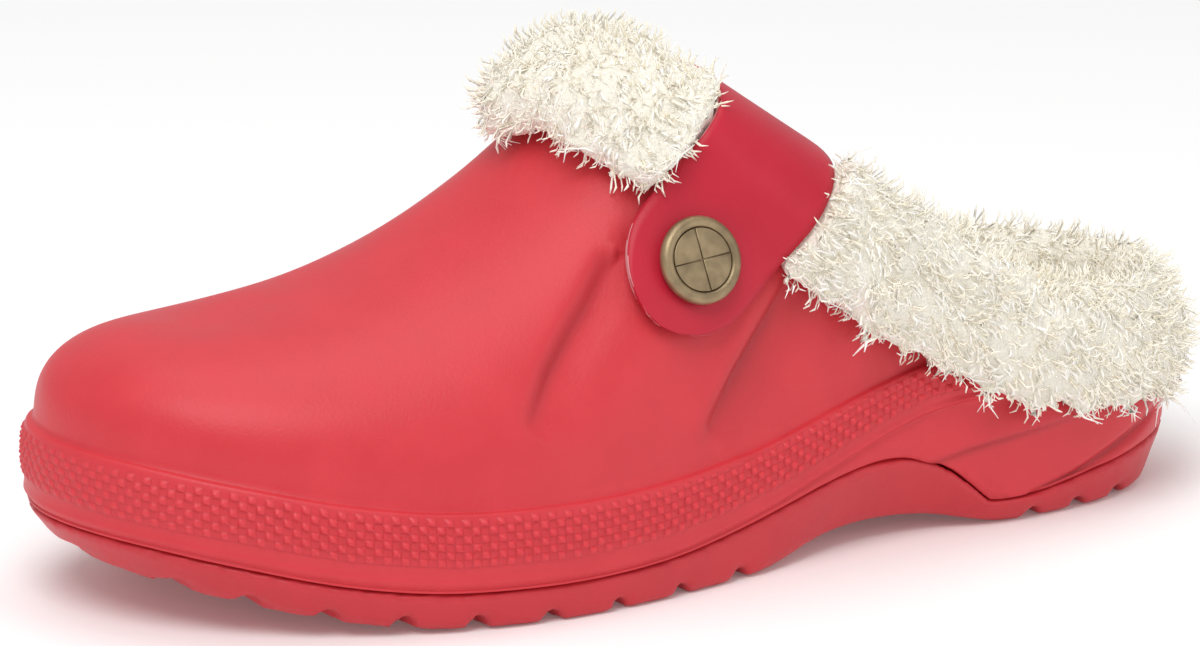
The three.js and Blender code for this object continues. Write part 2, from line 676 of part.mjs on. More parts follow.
// The strap's stations: middle of its underside, direction across it and direction away from the foot
function strapStations() {
  const points = strapPath.map((row) => new THREE.Vector3(
    row.across * ballWidth, yOf(row.along), row.height * instepHeight,
  ));
  [0, points.length - 1].forEach((k) => {
    const sideways = new THREE.Vector3(k ? -1 : 1, 0, 0);
    const hit = meet(new THREE.Vector3(k ? 90 : -90, points[k].y, points[k].z), sideways, 120);
    points[k].x = hit.x - sideways.x * (gap + 0.2);
  });
  const curve = new THREE.CatmullRomCurve3(points, false, "centripetal");
  const half = strapWidth / 2;
  const length = curve.getLength();
  const body = Array.from({ length: 19 }, (_, k) => (length * k) / 18);
  const ends = [78, 55, 30, 8].map((degrees) => (degrees * Math.PI) / 180);
  const places = [
    ...ends.toReversed().map((a) => ({ s: -half * Math.cos(a), half: half * Math.sin(a) })),
    ...body.map((s) => ({ s, half })),
    ...ends.map((a) => ({ s: length + half * Math.cos(a), half: half * Math.sin(a) })),
  ];
  return places.map((place) => {
    const u = THREE.MathUtils.clamp(place.s / length, 0, 1);
    const along = curve.getTangentAt(u);
    const middle = curve.getPointAt(u).addScaledVector(along, place.s - u * length);
    const lean = THREE.MathUtils.clamp(-middle.x / 30, -1, 1) * 0.22;
    const across = new THREE.Vector3(lean, 0.8, 0.57);
    across.addScaledVector(along, -across.dot(along)).normalize();
    const out = across.clone().cross(along);
    if (out.dot(new THREE.Vector3(middle.x, 0, middle.z - 40)) < 0) out.negate();
    const fromEnd = Math.min(place.s, length - place.s);
    const onUpper = 1 - THREE.MathUtils.smoothstep(fromEnd, half * 0.7, half * 1.4);
    return { middle, across, along, out: out.normalize(), half: place.half, onUpper };
  });
}
function strapRow(station, margin, under, over) {
  const { middle, across, along, out, half, onUpper } = station;
  const beds = [-1, -0.5, 0, 0.5, 1].map((f) => {
    const p = middle.clone().addScaledVector(across, f * (half + margin));
    const heights = [[0, 0], [-3, -3], [-3, 3], [3, -3], [3, 3]].map(([u, v]) => {
      const above = p.clone().addScaledVector(out, 20).addScaledVector(across, u).addScaledVector(along, v);
      const hit = meet(above, out.clone().negate(), 40);
      return hit ? hit.sub(p).dot(out) + gap : -100;
    });
    const height = Math.max(...heights);
    return p.addScaledVector(out, Math.max(height, 0) + Math.min(height, 0) * onUpper);
  });
  const low = beds.map((p) => p.clone().addScaledVector(out, under));
  const high = beds.map((p) => p.clone().addScaledVector(out, over));
  return [...low, ...high.toReversed()];
}

// A button: a ringed cap on a post with a flange inside the upper
function buttonGeometry({ root, out, grip }) {
  const radius = buttonDiameter / 2;
  const post = postDiameter / 2;
  const flange = flangeDiameter / 2;
  const profile = [
    [0, -grip - 1.5], [flange - 0.2, -grip - 1.5], [flange, -grip - 1.1], [flange, -grip],
    [post, -grip], [post, 0],
    [radius * 0.94, 0], [radius, 0.7], [radius, 1.7], [radius * 0.94, 2.6], [radius * 0.86, 2.9],
    [radius * 0.77, 2.6], [radius * 0.74, 2], [radius * 0.68, 2.2], [0, 2.5],
  ].map(([r, y]) => new THREE.Vector2(r, y));
  const lathe = new THREE.LatheGeometry(profile, 18).toNonIndexed();
  const turn = new THREE.Quaternion().setFromUnitVectors(new THREE.Vector3(0, 1, 0), out);
  lathe.applyQuaternion(turn).translate(root.x, root.y, root.z);
  const position = Array.from(lathe.attributes.position.array);
  return closedGeometry(position, position.map((_, k) => k).slice(0, position.length / 3));
}
function holeSolid(root, out) {
  const hole = new THREE.CylinderGeometry(postDiameter / 2 + gap, postDiameter / 2 + gap, 40, 16);
  const turn = new THREE.Quaternion().setFromUnitVectors(new THREE.Vector3(0, 1, 0), out);
  hole.applyQuaternion(turn).translate(root.x, root.y, root.z);
  return toSolid(hole);
}

const stations = strapStations();
const strapRows = stations.map((station) => strapRow(station, 0, 0, strapThickness));
const strapBody = toSolid(loft(strapRows));
const strapRoom = toSolid(loft(stations.map((station) => strapRow(station, gap, -gap - 0.05, 14))));

const buttonSeats = [4, stations.length - 5].map((k) => {
  const low = strapRows[k][2];
  const ahead = strapRows[k + 1][2].clone().sub(strapRows[k - 1][2]);
  const across = strapRows[k][3].clone().sub(strapRows[k][1]);
  const out = across.cross(ahead).normalize();
  if (out.dot(stations[k].out) < 0) out.negate();
  const root = low.clone().addScaledVector(out, strapThickness + gap + 0.3);
  across.normalize();
  const up = out.clone().cross(across);
  const depths = Array.from({ length: 8 }, (_, m) => {
    const [u, v] = [Math.cos((m * Math.PI) / 4), Math.sin((m * Math.PI) / 4)];
    const radius = flangeDiameter / 2 + 0.6;
    const from = root.clone().addScaledVector(across, u * radius).addScaledVector(up, v * radius);
    from.addScaledVector(out, -40);
    return 40 - meet(from, out, 40).distanceTo(from);
  });
  return { root, out, grip: Math.max(...depths) + gap };
});
const holes = wasm.Manifold.union(buttonSeats.map(({ root, out }) => holeSolid(root, out)));

// The cuff: its sections as one ring, locks fused on at the hem and on the fold, and room for the strap
function cuffSolid() {
  const sections = collarSections();
  const random = noise(7);
  const rows = sections.map((section) => cuffSection(section, random));
  const locks = [];
  sections.forEach((section, k) => {
    const hem = rows[k][4].clone().lerp(rows[k][5], 0.5);
    locks.push(lockSolid(hem, section.down, section.out, lockLength * (0.8 + 0.4 * random()), random));
    lockPlaces.forEach((place, m) => {
      if ((k + 2 * m) % 4 > 0) return;
      const root = rows[k][place];
      const turn = place < foldPlace ? 1 : -1;
      const along = rows[k][place - 1].clone().sub(rows[k][place + 1]).normalize().multiplyScalar(turn);
      const out = root.clone().sub(section.edge);
      out.addScaledVector(along, -out.dot(along)).normalize();
      locks.push(lockSolid(root, along, out, lockLength * (0.9 + 0.4 * random()), random));
    });
  });
  const body = toSolid(skin([...rows, rows[0]]));
  const whole = wasm.Manifold.union([body, ...locks]).subtract(strapRoom);
  return whole.decompose().sort((a, b) => b.volume() - a.volume())[0];
}

// Finishes, a material of its own for each piece
const finishes = {
  foam: { color: 0xd2414f, roughness: 0.5, metalness: 0 },
  fleece: { color: 0xf3f0e6, roughness: 0.95, metalness: 0 },
  leather: { color: 0xb3202f, roughness: 0.45, metalness: 0 },
  bronze: { color: 0x8e7a4e, roughness: 0.4, metalness: 1 },
};

const clog = new THREE.Group();
function addPiece(name, geometry, finish) {
  const material = new THREE.MeshStandardMaterial({ name: finish, ...finishes[finish] });
  const mesh = new THREE.Mesh(geometry, material);
  mesh.name = name;
  clog.add(mesh);
}
addPiece("sole", soleGeometry(), "foam");
addPiece("upper", toGeometry(toSolid(upperShell).subtract(holes)), "foam");
addPiece("insole", insoleGeometry(), "fleece");
addPiece("cuff", toGeometry(cuffSolid()), "fleece");
addPiece("strap", toGeometry(strapBody.subtract(holes)), "leather");
["button_lateral", "button_medial"].forEach((name, k) => {
  addPiece(name, buttonGeometry(buttonSeats[k]), "bronze");
});

export default clog;
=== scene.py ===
# %% [markdown]
# # A lined clog slipper
# A red foam clog with a fleece cuff, a fleece insole, a leather strap over the instep and two snap buttons.
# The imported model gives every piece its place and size. This script gives them their looks: it refines the
# foam, carves its creases, lays the pile of the fleece and gives each surface its finish.

# %% The frame and the tools
import math
import random

import bmesh
import bpy
import numpy as np
from mathutils import Matrix, Vector, noise
from mathutils.bvhtree import BVHTree


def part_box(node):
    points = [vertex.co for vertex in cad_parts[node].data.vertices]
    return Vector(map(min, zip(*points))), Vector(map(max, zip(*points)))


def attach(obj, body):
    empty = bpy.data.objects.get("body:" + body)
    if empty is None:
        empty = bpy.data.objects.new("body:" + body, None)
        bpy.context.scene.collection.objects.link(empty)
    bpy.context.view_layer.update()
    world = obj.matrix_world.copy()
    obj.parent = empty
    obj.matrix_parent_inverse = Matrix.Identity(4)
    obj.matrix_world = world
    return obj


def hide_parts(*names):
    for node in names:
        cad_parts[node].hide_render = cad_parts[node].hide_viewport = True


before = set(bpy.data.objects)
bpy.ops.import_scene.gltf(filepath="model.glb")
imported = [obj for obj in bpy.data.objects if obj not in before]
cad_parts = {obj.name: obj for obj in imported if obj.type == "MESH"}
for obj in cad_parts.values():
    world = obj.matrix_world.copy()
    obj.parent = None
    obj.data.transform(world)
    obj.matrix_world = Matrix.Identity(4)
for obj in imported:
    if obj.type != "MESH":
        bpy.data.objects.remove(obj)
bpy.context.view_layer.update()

MM = 0.001
shoe_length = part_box("upper")[1].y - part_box("upper")[0].y
heel_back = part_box("upper")[0].y
print("frame:", sorted(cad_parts), "length", round(shoe_length, 4))


# %% [markdown]
# ## Camera
# The photo looks at the outer side of a left shoe from the front, a little from above, through a long lens.
# The camera stands at that angle; the photo's frame is 1200 by 646.

# %% Camera
view_azimuth = math.radians(242)
view_elevation = math.radians(15)
view_target = Vector((-0.010, 0.1125, 0.051))
view_distance = 1.2
focal_length = 166.2

to_camera = Vector((
    math.sin(view_azimuth) * math.cos(view_elevation),
    -math.cos(view_azimuth) * math.cos(view_elevation),
    math.sin(view_elevation),
))
camera_data = bpy.data.cameras.new("camera")
camera_data.lens = focal_length
camera_data.sensor_width = 36
camera = bpy.data.objects.new("camera", camera_data)
camera.location = view_target + to_camera * view_distance
camera.rotation_euler = to_camera.to_track_quat("Z", "Y").to_euler()
bpy.context.scene.collection.objects.link(camera)
bpy.context.scene.camera = camera
print("camera at", [round(v, 3) for v in camera.location])


# %% [markdown]
# ## Helpers for pieces
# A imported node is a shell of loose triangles. A copy of it is merged and its triangles are paired to quads,
# because a subdivision surface bends quads smoothly. Edges with a sharp angle get a crease, so that they stay
# as crisp as a moulded edge.

# %% Helpers for pieces
def new_object(name, mesh):
    piece = bpy.data.objects.new(name, mesh)
    bpy.context.scene.collection.objects.link(piece)
    return piece


def merged_copy(node, name, crease_angle=None, crease=0.7):
    mesh = bpy.data.meshes.new(name)
    bm = bmesh.new()
    bm.from_mesh(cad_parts[node].data)
    bmesh.ops.remove_doubles(bm, verts=bm.verts, dist=0.02 * MM)
    bmesh.ops.join_triangles(
        bm, faces=bm.faces, angle_face_threshold=math.radians(30), angle_shape_threshold=math.radians(70)
    )
    if crease_angle:
        layer = bm.edges.layers.float.new("crease_edge")
        for edge in bm.edges:
            if edge.is_manifold and edge.calc_face_angle() > math.radians(crease_angle):
                edge[layer] = crease
    for face in bm.faces:
        face.smooth = True
    bm.to_mesh(mesh)
    bm.free()
    return new_object(name, mesh)


def add_modifier(piece, kind, **settings):
    modifier = piece.modifiers.new(kind.lower(), kind)
    for key, value in settings.items():
        setattr(modifier, key, value)
    return modifier


def settle(piece):
    """Turns the piece's modifiers into its mesh, so that the fine mesh can be shaped further."""
    graph = bpy.context.evaluated_depsgraph_get()
    shaped = bpy.data.meshes.new_from_object(piece.evaluated_get(graph))
    piece.modifiers.clear()
    piece.data = shaped
    return piece


def tree_of(piece):
    bm = bmesh.new()
    bm.from_mesh(piece.data)
    tree = BVHTree.FromBMesh(bm)
    bm.free()
    return tree


def dress(piece, slot, material, *nodes):
    """Says what the piece rides on, what it replaces and what it is made of."""
    piece.data.materials.clear()
    piece.data.materials.append(material)
    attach(piece, "root")
    if nodes:
        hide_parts(*nodes)
    faces = sum(len(p.vertices) - 2 for p in piece.data.polygons)
    print(piece.name, faces, "triangles")


# %% [markdown]
# ## Helpers for materials
# Every material is a Principled BSDF. The node helper adds a node and sets its sockets in one line, so that
# each finish below reads as a short list.

# %% Helpers for materials
def node(tree, kind, **inputs):
    made = tree.nodes.new(kind)
    for key, value in inputs.items():
        name = key.replace("_", " ")
        if name in made.inputs:
            made.inputs[name].default_value = value
        else:
            setattr(made, key, value)
    return made


def new_material(name, color, roughness, **sockets):
    material = bpy.data.materials.new(name)
    material.use_nodes = True
    shader = material.node_tree.nodes["Principled BSDF"]
    shader.inputs["Base Color"].default_value = (*color, 1)
    shader.inputs["Roughness"].default_value = roughness
    for key, value in sockets.items():
        shader.inputs[key.replace("_", " ")].default_value = value
    return material, material.node_tree, shader


def ramp(tree, source, stops):
    """A colour ramp over a factor: stops are (position, colour) pairs."""
    made = tree.nodes.new("ShaderNodeValToRGB")
    elements = made.color_ramp.elements
    while len(elements) < len(stops):
        elements.new(0.5)
    for element, (position, color) in zip(elements, stops):
        element.position = position
        element.color = (*color, 1)
    tree.links.new(source, made.inputs["Fac"])
    return made.outputs["Color"]


def mix_colors(tree, blend_type, factor, first, second):
    """Mixes two colours. The node has sockets of the same name for numbers, so they are picked by kind."""
    made = node(tree, "ShaderNodeMix", data_type="RGBA", blend_type=blend_type)
    pair = [socket for socket in made.inputs if socket.type == "RGBA"]
    for socket, value in zip([made.inputs[0], *pair], (factor, first, second)):
        if isinstance(value, bpy.types.NodeSocket):
            tree.links.new(value, socket)
        else:
            socket.default_value = value
    return next(socket for socket in made.outputs if socket.type == "RGBA")


# %% [markdown]
# ## Grain
# Foam and leather share one effect: a fine grain with softer unevenness under it. It is a node group with
# the grain's size and weight as inputs, and it puts out a height for bump and a mask for colour.

# %% Grain group
def grain_group():
    group = bpy.data.node_groups.new("surface_grain", "ShaderNodeTree")
    for name, value in (("Grain Scale", 1800.0), ("Unevenness Scale", 60.0), ("Grain Weight", 0.6)):
        socket = group.interface.new_socket(name, in_out="INPUT", socket_type="NodeSocketFloat")
        socket.default_value = value
    group.interface.new_socket("Height", in_out="OUTPUT", socket_type="NodeSocketFloat")
    group.interface.new_socket("Mask", in_out="OUTPUT", socket_type="NodeSocketFloat")
    start = group.nodes.new("NodeGroupInput")
    end = group.nodes.new("NodeGroupOutput")
    place = group.nodes.new("ShaderNodeTexCoord")
    grain = node(group, "ShaderNodeTexNoise", Detail=3.0, Roughness=0.55)
    uneven = node(group, "ShaderNodeTexNoise", Detail=2.0, Roughness=0.5)
    mix = node(group, "ShaderNodeMix", data_type="FLOAT")
    links = group.links
    links.new(place.outputs["Object"], grain.inputs["Vector"])
    links.new(place.outputs["Object"], uneven.inputs["Vector"])
    links.new(start.outputs["Grain Scale"], grain.inputs["Scale"])
    links.new(start.outputs["Unevenness Scale"], uneven.inputs["Scale"])
    links.new(start.outputs["Grain Weight"], mix.inputs["Factor"])
    links.new(uneven.outputs["Fac"], mix.inputs["A"])
    links.new(grain.outputs["Fac"], mix.inputs["B"])
    links.new(mix.outputs["Result"], end.inputs["Height"])
    links.new(uneven.outputs["Fac"], end.inputs["Mask"])
    return group


surface_grain = grain_group()


def add_grain(tree, shader, grain_scale, uneven_scale, weight, distance):
    grain = tree.nodes.new("ShaderNodeGroup")
    grain.node_tree = surface_grain
    grain.inputs["Grain Scale"].default_value = grain_scale
    grain.inputs["Unevenness Scale"].default_value = uneven_scale
    grain.inputs["Grain Weight"].default_value = weight
    bump = node(tree, "ShaderNodeBump", Strength=1.0, Distance=distance)
    tree.links.new(grain.outputs["Height"], bump.inputs["Height"])
    tree.links.new(bump.outputs["Normal"], shader.inputs["Normal"])
    return grain


print("grain group with", len(surface_grain.nodes), "nodes")


# %% [markdown]
# ## Foam
# The upper and the sole are moulded foam: a satin red skin, slightly uneven, with a very fine grain and a
# faint depth to it. A little subsurface light and a weak coat give the soft broad highlight.

# %% Foam material
def foam_material(name, color, dark):
    material, tree, shader = new_material(
        name, color, 0.46, Subsurface_Weight=0.06, Subsurface_Scale=0.002, Coat_Weight=0.07,
        Coat_Roughness=0.35, Specular_IOR_Level=0.33,
    )
    grain = add_grain(tree, shader, 1300.0, 90.0, 0.6, 0.00014)
    uneven = ramp(tree, grain.outputs["Mask"], [(0.3, dark), (0.7, color)])
    # Beside the creases the colour is mixed towards a darker red: painted shade where the folds would shade
    # the foam.
    crease_shade_attribute = node(tree, "ShaderNodeAttribute", attribute_name="painted_crease_shade")
    crease_shade_color = tuple(0.55 * c for c in color) + (1,)
    painted_shade = mix_colors(tree, "MIX", crease_shade_attribute.outputs["Fac"], uneven, crease_shade_color)
    tree.links.new(painted_shade, shader.inputs["Base Color"])
    rough = node(tree, "ShaderNodeMapRange", From_Min=0.3, From_Max=0.7, To_Min=0.4, To_Max=0.5)
    tree.links.new(grain.outputs["Mask"], rough.inputs["Value"])
    tree.links.new(rough.outputs["Result"], shader.inputs["Roughness"])
    return material


upper_foam = foam_material("upper_foam", (0.67, 0.042, 0.056), (0.63, 0.037, 0.05))
sole_foam = foam_material("sole_foam", (0.6, 0.038, 0.052), (0.56, 0.034, 0.047))


# %% [markdown]
# ## Upper
# The upper is one moulding with a soft wall. A subdivision surface makes the imported faces smooth. Then the
# two creases that the foot has pressed into the outer side, the fold beside the rear one, the long fold over
# the heel and the line below it are laid on from listed lines. Each is a line in side view with a soft
# profile across it, and painted shade darkens the foam beside it, where the fold would shade it.

# %% Upper
upper = merged_copy("upper", "upper_moulding", crease_angle=26, crease=0.55)
add_modifier(upper, "SUBSURF", levels=2, render_levels=2)
settle(upper)

# All lengths here are in millimetres. line has points in side view (y, z), and depth is outwards. front and
# back are the widths of the slopes towards the toe (or below) and towards the heel (or above). The last three
# values are painted shade in the foam's colour beside the line, where the fold would shade it: how strong it
# is, at what distance from the line it is strongest, and over what width it spreads.
creases = [
    # The front crease, the fold beside the rear one, and the rear crease
    dict(line=((124, 71), (130, 64), (136, 58), (141.5, 52), (145.5, 46), (149, 41)), depth=-3.2,
         front=2.4, back=9, painted_shade=0.55, painted_shade_at=1.2, painted_shade_width=2.0),
    dict(line=((85, 64), (89, 59), (93.5, 54), (98.5, 48.5), (106, 39.5), (110, 33)), depth=1.7,
         front=5, back=2, painted_shade=0.5, painted_shade_at=-2.5, painted_shade_width=2.5),
    dict(line=((81, 63), (89, 54), (97.5, 44), (105, 34)), depth=-2.6, front=3.0, back=11.0,
         painted_shade=0.3, painted_shade_at=-3, painted_shade_width=7),
    # The long fold over the heel, and the line below it
    dict(line=((46, 18.6), (36, 20.6), (25.5, 21.8), (14.5, 22.9), (3, 24.4)), depth=1.5, front=1.4, back=4.5,
         painted_shade=0.7, painted_shade_at=1.2, painted_shade_width=1.1),
    dict(line=((18, 6.2), (6.5, 8.9), (-5, 13), (-14.5, 16.6), (-22, 19.6)), depth=-1.3, front=1.3, back=1.3,
         painted_shade=0.8, painted_shade_at=0, painted_shade_width=0.9),
]
crease_reach = 7
refined_side = -20 * MM
moved_side = -15 * MM


def distance_to_line(line, y, z):
    """The distance from the line, the share along it, and the side: 1 towards the toe, or else -1."""
    best = (1e9, 0, 1)
    spans = list(zip(line, line[1:]))
    for k, ((y0, z0), (y1, z1)) in enumerate(spans):
        dy, dz = y1 - y0, z1 - z0
        t = max(0, min(1, ((y - y0) * dy + (z - z0) * dz) / (dy * dy + dz * dz)))
        off = math.hypot(y - y0 - t * dy, z - z0 - t * dz)
        if off < best[0]:
            side = 1 if (z - z0) * -dy + (y - y0) * dz < 0 else -1
            best = (off, (k + t) / len(spans), side)
    return best


def crease_offset(y, z):
    """How far the foam moves out at a place in side view, and how much painted shade darkens it there."""
    total, painted_shade = 0, 0
    for crease in creases:
        off, share, side = distance_to_line(crease["line"], y, z)
        width = crease["front"] if side > 0 else crease["back"]
        fade = max(0.0, math.sin(math.pi * (0.12 + 0.88 * share))) ** 0.6
        total += crease["depth"] * math.exp(-((off / width) ** 2)) * fade
        beside = (side * off - crease["painted_shade_at"]) / crease["painted_shade_width"]
        painted_shade += crease["painted_shade"] * math.exp(-(beside ** 2)) * fade
    return total, min(1, painted_shade)


def near_crease(co):
    y, z = co.y / MM, co.z / MM
    return co.x < refined_side and any(distance_to_line(c["line"], y, z)[0] < crease_reach for c in creases)


bm = bmesh.new()
bm.from_mesh(upper.data)
near = {v for v in bm.verts if near_crease(v.co)}
fine = [e for e in bm.edges if all(v in near for v in e.verts)]
bmesh.ops.subdivide_edges(bm, edges=fine, cuts=2, use_grid_fill=True)
bm.normal_update()
# Each moved point keeps its painted shade, which the foam material mixes into its colour.
painted_crease_shade = bm.verts.layers.float.new("painted_crease_shade")
moves = []
for vert in bm.verts:
    if vert.co.x < moved_side and vert.normal.x < -0.2:
        moves.append((vert, *crease_offset(vert.co.y / MM, vert.co.z / MM)))
for vert, move, painted_shade in moves:
    vert.co += vert.normal * move * MM
    vert[painted_crease_shade] = painted_shade
bm.to_mesh(upper.data)
bm.free()
upper.data.shade_smooth()
dress(upper, "foam", upper_foam, "upper")
upper_tree = tree_of(upper)


# %% [markdown]
# ## Band relief
# Between the groove and the rounded lip the band is covered with small pyramids, pressed into the foam. They
# are real relief: a fine strip follows the band, found by looking at the upper from outside, and every point
# of it moves in or out. Its edges and the valleys between its pyramids dip under the upper's own surface.

# %% Band relief
# Rows of share along the shoe, height of the groove under the band and height of the band's top, in
# millimetres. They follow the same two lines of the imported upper.
band_lines = [
    (0.16, 28.9, 35.5), (0.21, 29.9, 38.3), (0.26, 30.4, 41.0), (0.295, 29.5, 40.5), (0.33, 26.6, 38.3),
    (0.365, 23.3, 35.9), (0.41, 18.8, 32.4), (0.45, 15.4, 29.7), (0.5, 12.4, 27.5), (0.56, 10.0, 26.2),
    (0.64, 9.2, 25.7), (0.74, 9.9, 26.3), (0.82, 12.5, 29.2), (0.9, 17.3, 33.7), (1.0, 21.7, 38.1),
]
band_share, groove_height, top_height = zip(*band_lines)
band_start = 0.2
pyramid_length = 3.8
pyramid_height = 1.75
relief_depth = 2.5
relief_lift = 0.1
sunk_edge = -0.25


def band_heights(share):
    """The heights of the groove and of the band's top at a share along the shoe, in millimetres."""
    return np.interp(share, band_share, groove_height), np.interp(share, band_share, top_height)


def band_point(path_point, inward, fraction):
    """The point on the upper's band that is seen from path_point, at a fraction of the band's height."""
    y = path_point.y
    for _ in range(3):
        share = (y - heel_back) / shoe_length
        low, high = band_heights(share)
        z = (low + (high - low) * fraction) * MM
        hit = upper_tree.ray_cast(Vector((path_point.x, path_point.y, z)), inward)
        if hit[0] is None:
            return None, 0
        y = hit[0].y
    return hit[0], share


def capsule_path(count):
    """Places round the shoe at a distance, each with the direction towards the shoe's middle line."""
    radius, start, end = 0.11, 0.02, 0.165
    straight = end - start
    total = 2 * straight + 2 * math.pi * radius
    for k in range(count):
        s = total * k / count
        if s < straight:
            yield Vector((-radius, start + s, 0)), Vector((1, 0, 0))
        elif s < straight + math.pi * radius:
            a = (s - straight) / radius
            out = Vector((-math.cos(a), math.sin(a), 0))
            yield Vector((0, end, 0)) + out * radius, -out
        elif s < 2 * straight + math.pi * radius:
            yield Vector((radius, end - (s - straight - math.pi * radius), 0)), Vector((-1, 0, 0))
        else:
            a = (s - 2 * straight - math.pi * radius) / radius
            out = Vector((math.cos(a), -math.sin(a), 0))
            yield Vector((0, start, 0)) + out * radius, -out


# Stations at even steps along the band's middle
look_count = 900
middle = []
for place, inward in capsule_path(look_count):
    point, share = band_point(place, inward, 0.5)
    if point and share > band_start:
        middle.append((place, inward, point))
front = max(range(len(middle)), key=lambda k: middle[k][2].y)
lengths = [0.0]
for before, after in zip(middle, middle[1:]):
    lengths.append(lengths[-1] + (after[2] - before[2]).length)
step = 0.55 * MM
stations = []
m = 0
for k in range(int(lengths[-1] / step)):
    while lengths[m + 1] < k * step:
        m += 1
    f = (k * step - lengths[m]) / (lengths[m + 1] - lengths[m])
    before, after = middle[m], middle[m + 1]
    stations.append((before[0].lerp(after[0], f), before[1].lerp(after[1], f).normalized(), k * step))

rows_across = 29
low_fraction, high_fraction = 0.25, 0.95
end_stations = 30
toe_reach = 0.09
bm = bmesh.new()
relief_height = bm.verts.layers.float.new("relief_height")
bmesh.ops.create_grid(bm, x_segments=len(stations) - 1, y_segments=rows_across - 1, size=0.5)
bm.verts.ensure_lookup_table()
toe_length = lengths[front]
for vert in bm.verts:
    i = round((vert.co.x + 0.5) * (len(stations) - 1))
    j = round((vert.co.y + 0.5) * (rows_across - 1))
    place, inward, s = stations[i]
    fraction = low_fraction + (high_fraction - low_fraction) * j / (rows_across - 1)
    point, share = band_point(place, inward, fraction)
    low, high = band_heights(share)
    along = s / (pyramid_length * MM)
    up = (fraction - low_fraction) * (high - low) / pyramid_height
    wave = abs(((along + up / 2) % 1) - 0.5) + abs(((along - up / 2) % 1) - 0.5)
    border = min(1, 5 * (j / (rows_across - 1)), 9 * (1 - j / (rows_across - 1)))
    ends = min(1, i / end_stations, (len(stations) - 1 - i) / end_stations)
    toe = min(1, 0.45 + abs(s - toe_length) / toe_reach)
    height = relief_lift + relief_depth * (wave - 0.5) * min(border, ends) * toe
    if border < 0.3 or ends < 0.1:
        height = sunk_edge
    vert.co = point - inward * height * MM
    vert[relief_height] = 0.5 + (wave - 0.5) * min(border, ends) * toe
bmesh.ops.recalc_face_normals(bm, faces=bm.faces)
strip = bpy.data.meshes.new("band_relief")
bm.to_mesh(strip)
bm.free()
band_relief = new_object("band_relief", strip)
band_relief.data.shade_smooth()
band_foam = upper_foam.copy()
band_foam.name = "band_foam"
tree = band_foam.node_tree
# The band's colour follows each point's height: painted shade, darker in the valleys between the pyramids and
# lighter on their tops.
valley_shade_attribute = node(tree, "ShaderNodeAttribute", attribute_name="relief_height")
color = ramp(tree, valley_shade_attribute.outputs["Fac"], [(0.2, (0.34, 0.014, 0.024)), (0.6, (0.7, 0.048, 0.062))])
tree.links.new(color, tree.nodes["Principled BSDF"].inputs["Base Color"])
dress(band_relief, "foam", band_foam)
print("band relief over", round(lengths[-1], 3), "m")


# %% [markdown]
# ## Sole
# The sole is cut with grooves, so its mesh has long thin faces beside its lugs. A voxel remesh gives it even
# faces and softly rounded edges, as foam has when it comes out of its mould. No point goes below the floor.

# %% Sole
sole = merged_copy("sole", "sole_moulding", crease_angle=30, crease=0.8)
add_modifier(sole, "SUBSURF", levels=1, render_levels=1)
add_modifier(sole, "REMESH", mode="VOXEL", voxel_size=1.1 * MM, use_smooth_shade=True)
add_modifier(sole, "SMOOTH", factor=0.5, iterations=1)
add_modifier(sole, "DISPLACE", strength=0.15 * MM, mid_level=0)
settle(sole)
for vert in sole.data.vertices:
    vert.co.z = max(0.0, vert.co.z)
dress(sole, "foam", sole_foam, "sole")


# %% [markdown]
# ## Leather strap
# The strap is a smooth strip of leather with a rounded end under each button. Its faces are dark crimson,
# and its cut edge is paler and rougher, so the edge is a material of its own: its pale pink is partly the
# leather's own edge and partly a painted highlight along it.

# %% Strap materials
strap_leather, tree, shader = new_material(
    "strap_leather", (0.53, 0.012, 0.034), 0.46, Coat_Weight=0.08, Coat_Roughness=0.4,
    Specular_IOR_Level=0.32,
)
grain = add_grain(tree, shader, 1500.0, 45.0, 0.5, 0.00008)
color = ramp(tree, grain.outputs["Mask"], [(0.3, (0.5, 0.011, 0.032)), (0.7, (0.56, 0.015, 0.038))])
tree.links.new(color, shader.inputs["Base Color"])
# The cut edge's pale pink is partly the leather's own colour and partly a painted highlight.
cut_edge, tree, shader = new_material("cut_edge", (0.72, 0.3, 0.32), 0.8)
add_grain(tree, shader, 4000.0, 300.0, 0.7, 0.00015)
print("strap materials:", strap_leather.name, cut_edge.name)

# %% Strap
# Inwards from a face of the strap the other face is near, and inwards from its cut edge the next is far
deepest_leather = 8 * MM
strap = merged_copy("strap", "instep_strap", crease_angle=40, crease=0.85)
add_modifier(strap, "SUBSURF", levels=2, render_levels=2)
settle(strap)
strap.data.shade_smooth()
dress(strap, "leather", strap_leather, "strap")
strap_tree = tree_of(strap)
strap.data.materials.append(cut_edge)
for face in strap.data.polygons:
    across = strap_tree.ray_cast(face.center - face.normal * 0.05 * MM, -face.normal)[3]
    face.material_index = 1 if across and across > deepest_leather else 0
print("cut edge:", sum(f.material_index for f in strap.data.polygons), "faces")


# %% [markdown]
# ## Snap buttons
# Each button is a turned cap in antique bronze: a rounded rim, a groove, and a flat disc inside it with two
# crossing scored lines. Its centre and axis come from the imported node, because a turned piece has one
# direction in which its points spread differently from the other two.

# %% Bronze
bronze, tree, shader = new_material("bronze", (0.33, 0.245, 0.14), 0.46, Metallic=0.75)
grain = add_grain(tree, shader, 1200.0, 260.0, 0.5, 0.00008)
color = ramp(tree, grain.outputs["Mask"], [(0.35, (0.27, 0.2, 0.115)), (0.62, (0.38, 0.285, 0.165))])
tree.links.new(color, shader.inputs["Base Color"])
print("button material:", bronze.name)


